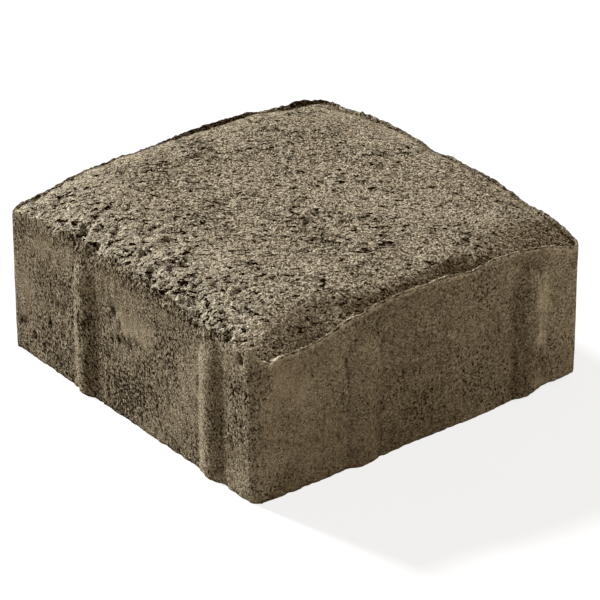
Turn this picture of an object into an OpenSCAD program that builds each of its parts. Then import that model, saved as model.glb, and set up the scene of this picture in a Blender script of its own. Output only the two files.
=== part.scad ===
// Square paving stone, pressed in one go from dry concrete.
// The mould box gives the upright faces and their spacer nibs. The press shoe gives the pillowed top:
// flat in the middle, rolled down along the sides, falling away at the corners, with a thin lip left standing
// where the shoe stops short of the mould wall. The dry mix fills the mould unevenly, so the edges dip and swell,
// and the lip has crumbled away along one side and stands up as a horn at one corner.
// Lengths are in millimetres. The origin is the middle of the flat underside and +Z points up.

/* [Block] */
// Width between two opposite faces, without the nibs
face_w = 137; // [110:1:180]
// Height in the middle of the top
crown_h = 60; // [50:1:80]
// Radius of the four upright corners
corner_r = 4; // [2:0.5:8]

/* [Pillowed top] */
// Distance in from a face at which the top starts to roll down
roll_in = 10.5; // [7:0.5:13]
// Drop of the rolled top where it meets the face, in the middle of a side
roll_drop = 5; // [4:0.1:6.5]
// Angle at which the roll breaks away from the flat middle, in degrees
roll_break = 8; // [4:0.5:14]
// Distance in from a corner, along the diagonal, at which the top starts to fall
fall_in = 45; // [30:1:50]
// Drop of the edge from the middle of a side to the corner
fall_drop = 6.3; // [3:0.1:8]
// Angle at which the fall breaks away from the flat middle, in degrees
fall_break = 2; // [1:0.5:6]

/* [Lip] */
// Thickness of the lip that stands round the top
lip_w = 1.2; // [0.6:0.1:1.6]
// Height of the lip above the foot of the rolled top
lip_h = 1.7; // [0.5:0.1:2.5]
// Stretch where the lip has crumbled away: number of the side, start and end along it from its left end
lip_gap = [3, 26, 122];
// Height of the horn's tip above the lip at the corner
horn_h = 5.4; // [2:0.1:6]
// Distance from the tip at which the horn has come down to that lip
horn_reach = 7.2; // [5:0.1:12]
// Distance of the tip from the front corner, along the left front side
horn_place = 4; // [0:0.5:8]

/* [Uneven edges] */
// Sides are numbered anticlockwise from the right front, and places run along a side from its left end,
// seen from outside. Each dip or swell is round along the edge and straight inwards: side, place, height of its
// middle above or below the foot of the rolled top, radius, and the slope in degrees at which it climbs inwards.
edge_dips = [
    [0, 8, -6.4, 160, 30],
    [0, 88, -1.5, 32, 33],
    [3, 107, -1.9, 80, 24],
];
edge_swells = [
    [2, 14, -0.4, 45, -2],
    [2, 53, 2, 90, 9],
    [3, 40, 2.4, 14, 5],
    [3, 70, 1, 85, 13],
];

/* [Spacer nibs] */
// Width of a nib where it leaves the face
nib_w = 13; // [8:0.5:18]
// Distance that a nib stands out of the face
nib_out = 1.5; // [0.8:0.1:3]
// Distance of the top end of a nib below the middle of the top
nib_stop = 10; // [8:0.5:20]
// Height of the slope that brings the top end of a nib back to the face
nib_lead = 6; // [2:0.5:8]
// Distance of the first nib from the left end of its face, seen from outside
nib_left = 44; // [30:0.5:50]
// Distance of the second nib from the right end of its face, seen from outside
nib_right = 23.5; // [18:0.5:30]

/* [Hidden] */
$fn = 96;

half_w = face_w / 2;
corner_tip = norm([half_w - corner_r, half_w - corner_r]) + corner_r;
foot_h = crown_h - roll_drop;
lip_top = foot_h + lip_h;
corner_lip_h = lip_top - fall_drop;
// Distances inwards at which a dip has come out above the top, and a swell has sunk into it
dip_run = 2.4 * roll_in;
swell_run = 1.5 * roll_in;

// Radius and centre of an arc that leaves the flat middle at start, at the angle given as leave,
// and comes down by drop over the distance run
function arc_r(run, drop, leave) = norm([run, drop]) / (2 * sin(atan(drop / run) - leave));
function arc_centre(start, radius, leave) = [start - radius * sin(leave), crown_h - radius * cos(leave)];

roll_r = arc_r(roll_in, roll_drop, roll_break);
roll_centre = arc_centre(half_w - roll_in, roll_r, roll_break);
fall_r = arc_r(fall_in, roll_drop + fall_drop, fall_break);
fall_centre = arc_centre(corner_tip - fall_in, fall_r, fall_break);

// Arc through both sides and the crest of a nib
nib_r = (nib_w * nib_w / 4 + nib_out * nib_out) / (2 * nib_out);
nib_h = crown_h - nib_stop;
nib_places = [nib_left - half_w, half_w - nib_right];

concrete = "#847967";

// Square with rounded corners
module rounded_square(width, radius) {
    straight = width - 2 * radius;
    square([width, straight], center = true);
    square([straight, width], center = true);
    for (sx = [-1, 1], sy = [-1, 1])
        translate([sx * straight / 2, sy * straight / 2]) circle(radius);
}

// Upright rounded bead that keeps the joint between two stones open, tapered back to the face at its top end
module spacer_nib() {
    cylinder(h = nib_h - nib_lead, r = nib_r);
    translate([0, 0, nib_h - nib_lead])
        cylinder(h = 2 * nib_lead, r1 = nib_r, r2 = nib_r - 2 * nib_out);
}

// What the mould box alone would give: a plain block with two nibs on each face
module mould_block() {
    linear_extrude(crown_h) rounded_square(face_w, corner_r);
    for (turn = [0:3], place = nib_places)
        rotate([0, 0, 90 * turn])
            translate([place, nib_r - nib_out - half_w, 0]) spacer_nib();
}

// Bar that runs along Y, with the rolls of two opposite sides as its shoulders
module rolled_bar() {
    rotate([90, 0, 0])
        linear_extrude(2 * face_w, center = true) {
            translate([-roll_centre.x, 0]) square([2 * roll_centre.x, 2 * crown_h]);
            translate([-face_w, roll_centre.y - crown_h]) square([2 * face_w, crown_h]);
            for (side = [-1, 1])
                translate([side * roll_centre.x, roll_centre.y]) circle(roll_r);
        }
}

// Turned cap, flat in the middle, whose rim falls away under the corners
module fallen_cap() {
    rotate_extrude()
        intersection() {
            square([face_w, crown_h]);
            union() {
                square([fall_centre.x, 2 * crown_h]);
                translate(fall_centre) circle(fall_r);
            }
        }
}

// Round bar across the edge of the numbered side. One line along it climbs inwards from the face: the bar lies
// above that line to press a dip, with way 1, or below it to leave a swell, with way -1.
module edge_bar(side, place, rise, radius, slope, way, run) {
    rotate([0, 0, 90 * side])
        translate([place - half_w, -half_w, foot_h + rise])
            rotate([slope, 0, 0])
                translate([0, 0, way * radius])
                    rotate([90, 0, 0]) cylinder(h = 2 * run, r = radius, center = true);
}

module dip_bars() {
    for (d = edge_dips) edge_bar(d[0], d[1], d[2], d[3], d[4], 1, dip_run);
}

module swell_bars() {
    for (s = edge_swells) edge_bar(s[0], s[1], s[2], s[3], s[4], -1, swell_run);
}

// Everything that the plain press shoe would leave below it
module pillow() {
    intersection() {
        rolled_bar();
        rotate([0, 0, 90]) rolled_bar();
        fallen_cap();
    }
}

// Everything below the level of the lip, which falls and swells as the top does
module lip_level() {
    intersection() {
        translate([-face_w, -face_w, 0]) cube([2 * face_w, 2 * face_w, lip_top]);
        translate([0, 0, lip_h]) fallen_cap();
    }
    translate([0, 0, lip_h]) swell_bars();
}

// Cone with its tip just outside the left front face, whose flank is the crest of the horn
module horn_cone() {
    translate([-half_w - lip_w, horn_place - half_w, corner_lip_h - horn_h])
        cylinder(h = 2 * horn_h, r1 = 2 * horn_reach, r2 = 0);
}

// Rim that stays standing between the shoe and the mould wall
module standing_lip() {
    difference() {
        union() {
            difference() {
                lip_level();
                translate([0, 0, lip_h]) dip_bars();
                rotate([0, 0, 90 * lip_gap[0]])
                    translate([lip_gap[1] - half_w, -face_w, 0])
                        cube([lip_gap[2] - lip_gap[1], half_w + lip_w, 2 * crown_h]);
            }
            horn_cone();
        }
        linear_extrude(2 * crown_h, center = true) rounded_square(face_w - 2 * lip_w, corner_r - lip_w);
    }
}

// Everything that lies below the pressed top
module pressed_top() {
    difference() {
        union() {
            pillow();
            swell_bars();
        }
        dip_bars();
    }
    standing_lip();
}

module paving_stone() {
    color(concrete)
        intersection() {
            mould_block();
            pressed_top();
        }
}

paving_stone();
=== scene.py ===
"""Looks of the square paving stone: one pressed block of dry concrete on a pale studio floor.

Lengths are in millimetres until a mesh is written, which is in metres. The frame is the stone's own:
the origin is the middle of the flat underside, +Z points up, and each side is read from its left end,
as someone sees it who stands in front of it.
"""
import logging
import math
from dataclasses import dataclass
from enum import IntEnum
from typing import Any

import bpy
import numpy as np
from mathutils import Matrix, Vector


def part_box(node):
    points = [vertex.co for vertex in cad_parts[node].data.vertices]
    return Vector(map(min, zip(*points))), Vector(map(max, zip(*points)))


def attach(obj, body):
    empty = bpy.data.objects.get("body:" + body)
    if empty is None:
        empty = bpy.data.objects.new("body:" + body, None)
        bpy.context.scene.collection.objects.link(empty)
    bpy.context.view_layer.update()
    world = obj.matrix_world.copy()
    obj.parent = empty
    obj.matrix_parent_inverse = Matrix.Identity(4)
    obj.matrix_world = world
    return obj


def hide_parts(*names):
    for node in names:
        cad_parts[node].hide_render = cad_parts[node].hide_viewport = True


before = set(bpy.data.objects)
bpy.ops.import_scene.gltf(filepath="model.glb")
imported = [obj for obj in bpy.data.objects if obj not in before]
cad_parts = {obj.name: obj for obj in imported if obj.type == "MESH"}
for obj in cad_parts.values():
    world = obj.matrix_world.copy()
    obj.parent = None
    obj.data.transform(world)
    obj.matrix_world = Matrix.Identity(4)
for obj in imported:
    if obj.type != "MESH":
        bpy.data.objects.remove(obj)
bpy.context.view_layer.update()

MM = 0.001
LOG = logging.getLogger("paving_stone")

# Two ends, such as ease takes: where a share is nothing, and where it is whole
Band = tuple[float, float]


class Side(IntEnum):
    """The four upright sides, in the order in which the edge runs round, seen from above."""

    RIGHT_FRONT = 0
    BACK_RIGHT = 1
    BACK_LEFT = 2
    LEFT_FRONT = 3


@dataclass(frozen=True)
class EdgeBar:
    """A dip pressed into an edge, or a swell left standing on it: round along the edge, straight inwards.

    Rise is the height of its middle, at the face, above the foot of the rolled top, and slope is the
    angle in degrees at which it climbs inwards.
    """

    side: Side
    place: float
    rise: float
    radius: float
    slope: float


@dataclass(frozen=True)
class EdgeWave:
    """A small place where an edge stands higher or lower than it does beside it.

    Reach is how far it goes along the edge each way, and depth how far it goes in from the face.
    """

    side: Side
    place: float
    rise: float
    reach: float
    depth: float


@dataclass(frozen=True)
class LipBreak:
    """A stretch of an edge, from start to end along the side, where a share of the thin lip is gone."""

    side: Side
    start: float
    end: float
    share: float


@dataclass(frozen=True)
class StoneLayer:
    """One size of stone in the mix, or of hole where the height is below nothing.

    Size is the spacing of the stones, and width the radius of a head as a part of it. Share is the share
    of the stones that show in firm and in loose mix, and firm the part of their height left in firm mix.
    """

    size: float
    height: float
    width: float
    seed: int
    share: Band
    firm: float = 1.0


@dataclass(frozen=True)
class Spot:
    """A single hole in the top, or a stone that stands proud of it where the height is above nothing."""

    x: float
    y: float
    radius: float
    height: float


@dataclass(frozen=True)
class SideSpot:
    """A single ragged hole in an upright side."""

    side: Side
    place: float
    z: float
    radius: float
    depth: float


@dataclass(frozen=True)
class SidePatch:
    """A patch of an upright side that the mould wall left smoother, or lighter or darker, than the rest.
    Strips along the nibs' flanks are painted highlight on the flank that faces the light and painted shade
    on the flank that faces away.
    """

    side: Side
    place: float
    z: float
    half_length: float
    half_height: float
    cover: float
    lift: float


def linear_colour(hex_colour: str) -> tuple[float, float, float, float]:
    """Turns an sRGB hex colour into linear red, green, blue and an alpha of one.

    Args:
        hex_colour: a colour such as "#847967".

    Returns:
        The four linear parts, as a shader socket takes them.
    """
    parts = [int(hex_colour[i:i + 2], 16) / 255 for i in (1, 3, 5)]
    red, green, blue = (
        p / 12.92 if p <= 0.04045 else ((p + 0.055) / 1.055) ** 2.4 for p in parts)
    return red, green, blue, 1.0


def add_node(tree: bpy.types.NodeTree, kind: str, inputs: dict[int | str, Any] | None = None,
             **settings: Any) -> bpy.types.Node:
    """Adds a node to a tree, sets it and links it.

    Args:
        tree: the node tree that gets the node.
        kind: the node's type name.
        inputs: by socket name or number, either a value or the output socket to link from.
        **settings: the node's own properties.

    Returns:
        The new node.
    """
    node = tree.nodes.new(kind)
    for name, value in settings.items():
        setattr(node, name, value)
    for key, value in (inputs or {}).items():
        if isinstance(value, bpy.types.NodeSocket):
            tree.links.new(value, node.inputs[key])
        else:
            node.inputs[key].default_value = value
    return node


def ease(low: float, high: float, value: np.ndarray) -> np.ndarray:
    """Rises from 0 at low to 1 at high along 3t² - 2t³; low above high makes it fall.

    Args:
        low: the value that gives 0.
        high: the value that gives 1.
        value: the values to ease.

    Returns:
        The eased values, from 0 to 1.
    """
    t = np.clip((value - low) / (high - low), 0.0, 1.0)
    return t * t * (3 - 2 * t)


def between(ends: Band, share: np.ndarray) -> np.ndarray:
    """Gives the value that lies a share of the way from the first end to the second."""
    return ends[0] + (ends[1] - ends[0]) * share


def level(plan: np.ndarray) -> np.ndarray:
    """Adds a z of nothing to x and y, so that a pattern in space can be read there."""
    return np.concatenate([plan, np.zeros_like(plan[..., :1])], axis=-1)


def lattice_chance(cells: np.ndarray, seed: int) -> np.ndarray:
    """Gives each whole-number lattice point its own steady random value.

    The three coordinates are multiplied by large odd numbers, added, and their bits mixed twice.

    Args:
        cells: whole numbers, with x, y and z along the last axis.
        seed: picks one of many sets of values.

    Returns:
        Values from 0 to 1, evenly spread.
    """
    c = cells.astype(np.int64).astype(np.uint64)
    mixed = (c[..., 0] * np.uint64(0x9E3779B185EBCA87) + c[..., 1] * np.uint64(0xC2B2AE3D27D4EB4F)
             + c[..., 2] * np.uint64(0x165667B19E3779F9) + np.uint64(seed * 0x27D4EB2F + 17))
    mixed = (mixed ^ (mixed >> np.uint64(29))) * np.uint64(0xBF58476D1CE4E5B9)
    mixed = (mixed ^ (mixed >> np.uint64(32))) * np.uint64(0x94D049BB133111EB)
    return (mixed >> np.uint64(40)).astype(float) / float(1 << 24)


def lumps(points: np.ndarray, size: float, seed: int) -> np.ndarray:
    """Smooth random swell: lattice values one size apart, joined by eased steps in x, y and z.

    Args:
        points: places in millimetres, with x, y and z along the last axis.
        size: the spacing of the lattice in millimetres.
        seed: picks one of many swells.

    Returns:
        Values from -1 to 1.
    """
    scaled = points / size
    base = np.floor(scaled)
    part = scaled - base
    part = part * part * (3 - 2 * part)
    total = np.zeros(points.shape[:-1])
    for corner in np.ndindex(2, 2, 2):
        weight = np.prod(np.where(corner, part, 1 - part), axis=-1)
        total += weight * lattice_chance(base + corner, seed)
    return 2 * total - 1


def rough_lumps(points: np.ndarray, size: float, seed: int, layers: int) -> np.ndarray:
    """Adds swells of half the size and half the height to a swell, layer by layer.

    Args:
        points: places in millimetres, with x, y and z along the last axis.
        size: the size of the largest swell in millimetres.
        seed: picks one of many swells.
        layers: how many swells are added up.

    Returns:
        Values from about -1 to 1.
    """
    swells = [lumps(points, size / 2 ** k, seed + k) / 2 ** k for k in range(layers)]
    return np.sum(swells, axis=0) / (2 - 2.0 ** (1 - layers))


@dataclass(frozen=True)
class Swell:
    """A value that wanders at random: by height each way about its middle, over a size in millimetres.

    Each layer after the first adds a swell of half the size and half the height.
    """

    middle: float
    height: float
    size: float
    seed: int
    layers: int = 3

    def at(self, points: np.ndarray) -> np.ndarray:
        """Reads the swell at places in millimetres, with x, y and z along the last axis."""
        return self.middle + self.height * rough_lumps(points, self.size, self.seed, self.layers)


def nearest_stone(points: np.ndarray, size: float, seed: int) -> tuple[np.ndarray, np.ndarray]:
    """Scatters one stone in each cell of a lattice and finds the nearest one to each point.

    Args:
        points: places in millimetres, with x, y and z along the last axis.
        size: the cell's size in millimetres.
        seed: picks one of many scatters.

    Returns:
        The distance to the nearest stone as a part of size, and that stone's own random value.
    """
    scaled = points / size
    base = np.floor(scaled)
    nearest = np.full(points.shape[:-1], np.inf)
    chance = np.zeros(points.shape[:-1])
    for step in np.ndindex(3, 3, 3):
        cell = base + np.array(step) - 1
        stone = cell + np.stack([lattice_chance(cell, seed + axis) for axis in range(3)], axis=-1)
        distance = np.linalg.norm(scaled - stone, axis=-1)
        closer = distance < nearest
        chance = np.where(closer, lattice_chance(cell, seed + 3), chance)
        nearest = np.where(closer, distance, nearest)
    return nearest, chance


def heads(points: np.ndarray, layer: StoneLayer, loose: np.ndarray) -> np.ndarray:
    """Round heads of one size of stone: 1 - (d / w)² of the height, cut off below nothing.

    Here d is the distance to the nearest stone and w the width of a head.

    Args:
        points: places in millimetres, with x, y and z along the last axis.
        layer: the size of stone.
        loose: the looseness of the mix, from 0 to 1.

    Returns:
        The height at each point.
    """
    far, pick = nearest_stone(points, layer.size, layer.seed)
    height = layer.height * np.clip(1 - (far / layer.width) ** 2, 0, None)
    return height * (pick < between(layer.share, loose)) * between((layer.firm, 1.0), loose)


def evened(grid: np.ndarray, passes: int) -> np.ndarray:
    """Evens out a grid of heights: each pass mixes a point with its neighbours, 1-2-1, both ways.

    Args:
        grid: heights on a grid of two axes.
        passes: how many times the heights are mixed.

    Returns:
        The evened heights.
    """
    for _ in range(passes):
        wide = np.pad(grid, 1, mode="edge")
        rows = (wide[:-2] + 2 * wide[1:-1] + wide[2:]) / 4
        grid = (rows[:, :-2] + 2 * rows[:, 1:-1] + rows[:, 2:]) / 4
    return grid


def sunk(grid: np.ndarray, full: float, passes: int = 5) -> np.ndarray:
    """How far each point lies below its surroundings, from -1 for proud to 1 for hollow.

    Args:
        grid: heights on a grid of two axes.
        full: the depth that counts as wholly hollow.
        passes: how many times the heights are evened to give the surroundings.

    Returns:
        The share of hollow at each point.
    """
    return np.clip((evened(grid, passes) - grid) / full, -1, 1)


def arc_drop(run: np.ndarray, length: float, drop: float, leave: float) -> np.ndarray:
    """Depth below a level face of a round arc that leaves it at an angle and ends at a given drop.

    The chord from start to end fixes the arc's radius: half the chord over the sine of half the turn.

    Args:
        run: level distance from the arc's start, where a negative one gives no drop.
        length: the level distance from its start to its end.
        drop: its depth at the end.
        leave: its slope at the start, in degrees.

    Returns:
        The depth at each distance.
    """
    slope = math.radians(leave)
    radius = math.hypot(length, drop) / (2 * math.sin(math.atan2(drop, length) - slope))
    along = np.clip(run, 0.0, None) + radius * math.sin(slope)
    depth = radius * math.cos(slope) - np.sqrt(np.clip(radius ** 2 - along ** 2, 0.0, None))
    return np.where(run > 0, depth, 0.0)


@dataclass(frozen=True)
class DryPressedConcrete:
    """Dry concrete, pressed and taken out of the mould at once: open sand grain on top, drawn sides.

    It gives the eye a matt grey-brown with sand grains that catch the light, dark pores between them,
    short tears across the top, and sides that the mould wall has combed upright and smoothed with cement
    paste in places. The darkness of pores, cavities, hollows, cracks and the gaps between grains is painted
    shade, and the lighter heads of crumbs are painted highlights. The sand is drawn about twice as coarse as
    it is, or it wouldn't show. Sizes are in millimetres, and tear_turn is the angle in degrees from X at
    which the tears lie.
    """

    dark_grain: str = "#3b2a0b"
    middle_grain: str = "#aa9d84"
    light_grain: str = "#f2e6cb"
    # Colour of the painted shade in pores, cavities, hollows, cracks and the gaps between grains
    painted_recess_shade: str = "#231600"
    sand_size: float = 0.46
    grit_size: float = 1.8
    blotch_size: float = 26.0
    crack_size: float = 5.0
    ledge_size: float = 6.0
    mottle_size: float = 6.0
    cavity_size: float = 1.45
    tear_length: float = 2.8
    tear_turn: float = -38.0
    bend_size: float = 1.2
    side_pore_size: float = 0.9
    side_pore_length: float = 1.2
    comb_width: float = 1.1
    comb_length: float = 11.0
    noise_detail: float = 4.0
    noise_roughness: float = 0.6

    # Grains: how far they are pulled out of true, and, in cells, where a gap between sand grains starts and
    # is whole, where a grit's head starts and is whole, and the random value above which a grit shows
    pull: float = 0.8
    gap_edge: Band = (0.3, 0.75)
    head_edge: Band = (0.5, 0.1)
    grit_shown: float = 0.7

    # Sums on the values that the stone and the patterns give: name, operation, then two or three terms,
    # each of which is a number or the name of an earlier value.
    sums: tuple[tuple[Any, ...], ...] = (
        ("drawn", "SUBTRACT", 1.0, "pressed"),
        # Pores of the sides open where a fine noise is high, and more of them where the mix is loose.
        ("pores", "MULTIPLY_ADD", "blotch", 0.2, "side_pores"),
        ("pores", "MULTIPLY_ADD", "open", 0.15, "pores"),
        ("pores", "MULTIPLY_ADD", "pores", 16.0, -11.7),
        ("pores", "MAXIMUM", "pores", 0.0),
        ("pores", "MINIMUM", "pores", 1.0),
        ("pores", "MULTIPLY", "pores", "bare"),
        ("pores", "MULTIPLY", "pores", "drawn"),
        # The top is pressed flat, with cavities left where a noise is low, wider where the mix is loose.
        ("cavity", "MULTIPLY_ADD", "cracked", 0.075, 0.398),
        ("cavity", "SUBTRACT", "cavity", "top_cavities"),
        ("cavity", "MAXIMUM", "cavity", 0.0),
        ("cavity", "MULTIPLY", "cavity", "pressed"),
        # Cracks run where a coarse noise crosses its middle value, in the loose parts of the top.
        ("crack", "SUBTRACT", "cracks", 0.5),
        ("crack", "ABSOLUTE", "crack", 0.0),
        ("crack", "MULTIPLY_ADD", "crack", -36.0, 1.0),
        ("crack", "MAXIMUM", "crack", 0.0),
        ("crack", "MULTIPLY", "crack", "cracked"),
        # Ledges: the surface steps up where another noise passes its middle value.
        ("ledge", "SUBTRACT", "ledges", 0.5),
        ("ledge", "MULTIPLY_ADD", "ledge", 20.0, 0.5),
        ("ledge", "MAXIMUM", "ledge", 0.0),
        ("ledge", "MINIMUM", "ledge", 1.0),
        ("ledge", "MULTIPLY", "ledge", "cracked"),
        # Tone: each grain its own, with broad blotches and, on the sides, upright combing.
        ("comb", "SUBTRACT", "combing", 0.5),
        ("comb", "MULTIPLY", "comb", "drawn"),
        ("grit", "MULTIPLY", "grit_head", "grit_picked"),
        ("grit", "MULTIPLY", "grit", "grain"),
        ("crumbly", "MULTIPLY", "cracked", "cracked"),
        ("crumb", "MULTIPLY", "grit_head", "crumbly"),
        ("sand", "SUBTRACT", "sand_tone", 0.5),
        ("sand", "MULTIPLY", "sand", "grain"),
        ("tone", "MULTIPLY_ADD", "sand", 1.25, 0.5),
        ("tone", "MULTIPLY_ADD", "grit", 0.2, "tone"),
        # Painted highlight: the heads of grit where the mix is crumbly are lighter.
        ("tone", "MULTIPLY_ADD", "crumb", 0.55, "tone"),
        ("broad", "SUBTRACT", "blotch", 0.5),
        ("tone", "MULTIPLY_ADD", "broad", 0.45, "tone"),
        ("tone", "MULTIPLY_ADD", "comb", 0.15, "tone"),
        ("patchy", "SUBTRACT", "mottle", 0.5),
        ("patchy", "MULTIPLY", "patchy", "drawn"),
        ("tone", "MULTIPLY_ADD", "patchy", 0.28, "tone"),
        # The lift holds the stone's own changes of tone, and also painted shade and painted highlights
        # worked out from its shape.
        ("tone", "ADD", "tone", "lift"),
        # Painted shade: darkness of pores, cavities, cracks, hollows and the gaps between grains, where
        # shade falls.
        ("gap", "MULTIPLY", "sand_gap", "grain"),
        ("dark", "MULTIPLY", "pores", 0.78),
        ("dark", "MULTIPLY_ADD", "cavity", 16.0, "dark"),
        ("dark", "MULTIPLY_ADD", "hollow", 0.45, "dark"),
        ("dark", "MULTIPLY_ADD", "gap", 0.52, "dark"),
        ("dark", "MULTIPLY_ADD", "crack", 0.35, "dark"),
        # Fine relief in millimetres.
        ("relief", "MULTIPLY", "gap", -0.45),
        ("relief", "MULTIPLY_ADD", "grit", 0.5, "relief"),
        ("relief", "MULTIPLY_ADD", "pores", -1.0, "relief"),
        ("relief", "MULTIPLY_ADD", "cavity", -9.0, "relief"),
        ("relief", "MULTIPLY_ADD", "crumb", 0.6, "relief"),
        ("relief", "MULTIPLY_ADD", "crack", -0.6, "relief"),
        ("relief", "MULTIPLY_ADD", "ledge", 0.8, "relief"),
        ("relief", "MULTIPLY_ADD", "comb", 0.2, "relief"),
    )

    def material(self) -> bpy.types.Material:
        """Builds the procedural material.

        Returns:
            The material, which reads the attributes that SurfaceLooks works out.
        """
        material = bpy.data.materials.new("dry_pressed_concrete")
        material.use_nodes = True
        tree = material.node_tree
        tree.nodes.clear()
        value = {name: add_node(tree, "ShaderNodeAttribute", attribute_name=name).outputs["Fac"]
                 for name in ("pressed", "bare", "grain", "open", "cracked", "hollow", "lift")}
        place = add_node(tree, "ShaderNodeTexCoord").outputs["Object"]
        place = add_node(tree, "ShaderNodeVectorMath", {0: place, "Scale": 1 / MM},
                         operation="SCALE").outputs[0]

        # Noises, each with its sizes along its own three axes, which the tears have turned about Z.
        noises = {
            "blotch": (self.blotch_size,) * 3,
            "cracks": (self.crack_size,) * 3,
            "ledges": (self.ledge_size,) * 3,
            "mottle": (self.mottle_size,) * 3,
            "top_cavities": (self.tear_length, self.cavity_size, self.cavity_size),
            "side_pores": (self.side_pore_size, self.side_pore_size, self.side_pore_length),
            "combing": (self.comb_width, self.comb_width, self.comb_length),
        }
        turns = {"top_cavities": math.radians(self.tear_turn)}
        for name, sizes in noises.items():
            scaled = add_node(tree, "ShaderNodeMapping",
                              {"Vector": place, "Rotation": (0, 0, turns.get(name, 0.0)), "Scale": sizes},
                              vector_type="TEXTURE")
            value[name] = add_node(tree, "ShaderNodeTexNoise",
                                   {"Vector": scaled.outputs[0], "Scale": 1.0,
                                    "Detail": self.noise_detail,
                                    "Roughness": self.noise_roughness}).outputs[0]

        # Sand and grit: round cells, pulled out of true so that no grain is a ball.
        bend = add_node(tree, "ShaderNodeTexNoise", {"Vector": place, "Scale": 1 / self.bend_size,
                                                     "Detail": 1.0}).outputs["Color"]
        pulled = add_node(tree, "ShaderNodeVectorMath", {0: bend, 1: (self.pull,) * 3, 2: place},
                          operation="MULTIPLY_ADD").outputs[0]
        sand = add_node(tree, "ShaderNodeTexVoronoi", {"Vector": pulled, "Scale": 1 / self.sand_size})
        grit = add_node(tree, "ShaderNodeTexVoronoi", {"Vector": pulled, "Scale": 1 / self.grit_size})
        value["sand_tone"] = add_node(tree, "ShaderNodeSeparateColor",
                                      {0: sand.outputs["Color"]}).outputs[0]
        value["sand_gap"] = add_node(tree, "ShaderNodeMapRange",
                                     {"Value": sand.outputs["Distance"], "From Min": self.gap_edge[0],
                                      "From Max": self.gap_edge[1]},
                                     interpolation_type="SMOOTHSTEP").outputs[0]
        value["grit_head"] = add_node(tree, "ShaderNodeMapRange",
                                      {"Value": grit.outputs["Distance"], "From Min": self.head_edge[0],
                                       "From Max": self.head_edge[1]},
                                      interpolation_type="SMOOTHSTEP").outputs[0]
        grit_tone = add_node(tree, "ShaderNodeSeparateColor", {0: grit.outputs["Color"]}).outputs[0]
        value["grit_picked"] = add_node(tree, "ShaderNodeMath", {0: grit_tone, 1: self.grit_shown},
                                        operation="GREATER_THAN").outputs[0]

        for name, operation, *terms in self.sums:
            inputs = {number: value.get(term, term) for number, term in enumerate(terms)}
            value[name] = add_node(tree, "ShaderNodeMath", inputs, operation=operation).outputs[0]

        ramp = add_node(tree, "ShaderNodeValToRGB", {0: value["tone"]})
        ramp.color_ramp.elements[0].color = linear_colour(self.dark_grain)
        ramp.color_ramp.elements[1].color = linear_colour(self.light_grain)
        ramp.color_ramp.elements.new(0.5).color = linear_colour(self.middle_grain)
        # Painted shade: the colour goes towards the dark recess colour by the share of darkness.
        colour = add_node(tree, "ShaderNodeMix",
                          {0: value["dark"], 6: ramp.outputs[0], 7: linear_colour(self.painted_recess_shade)},
                          data_type="RGBA", clamp_factor=True).outputs[2]
        bump = add_node(tree, "ShaderNodeBump",
                        {"Height": value["relief"], "Distance": MM, "Strength": 1.0})
        # Open dry concrete has no gloss of its own.
        shader = add_node(tree, "ShaderNodeBsdfPrincipled",
                          {"Base Color": colour, "Normal": bump.outputs[0], "Roughness": 0.95,
                           "IOR": 1.5, "Specular IOR Level": 0.0})
        add_node(tree, "ShaderNodeOutputMaterial", {"Surface": shader.outputs[0]})
        return material


@dataclass(frozen=True)
class SurfaceLooks:
    """How the relief, smear and looseness of a surface turn into the values that the concrete reads.

    Pressed is 1 for the pressed top and 0 for the drawn sides. Hollow depth is the depth that counts as
    wholly hollow, and the painted shade in hollows how strongly it darkens. Smear cover is the share of
    grain and pores that paste hides, grain the strength of the sand, and open share the part of the
    looseness that opens pores. Cracks are their shares in firm and in loose mix. Base tone is added
    everywhere, and a painted highlight on heads that stand proud.
    """

    pressed: float
    hollow_depth: float
    hollow_painted_shade: float
    smear_cover: float
    grain: float
    open_share: float
    cracks: Band
    base_tone: float
    proud_painted_highlight: float

    def attributes(self, grid: dict[str, np.ndarray]) -> dict[str, np.ndarray]:
        """Works out the attributes that the concrete reads, from a grid of the top or of the sides.

        Each is its share of the smear or the looseness, or of how far a point is sunk or stands proud.

        Args:
            grid: by name, heights, smear, looseness and change of tone.

        Returns:
            The attributes by name, each on the same grid.
        """
        hollow = sunk(grid["height"], self.hollow_depth)
        bare = 1 - self.smear_cover * grid["smear"]
        return {
            "pressed": np.full(hollow.shape, self.pressed),
            "bare": bare,
            "grain": bare * self.grain,
            "open": grid["loose"] * self.open_share,
            "cracked": between(self.cracks, grid["loose"]),
            # Painted shade in hollows, and a painted highlight on heads that stand proud of their
            # surroundings
            "hollow": np.clip(self.hollow_painted_shade * hollow, 0, 1),
            "lift": grid["lift"] + self.base_tone + self.proud_painted_highlight * np.clip(-hollow, 0, 1),
        }


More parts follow.
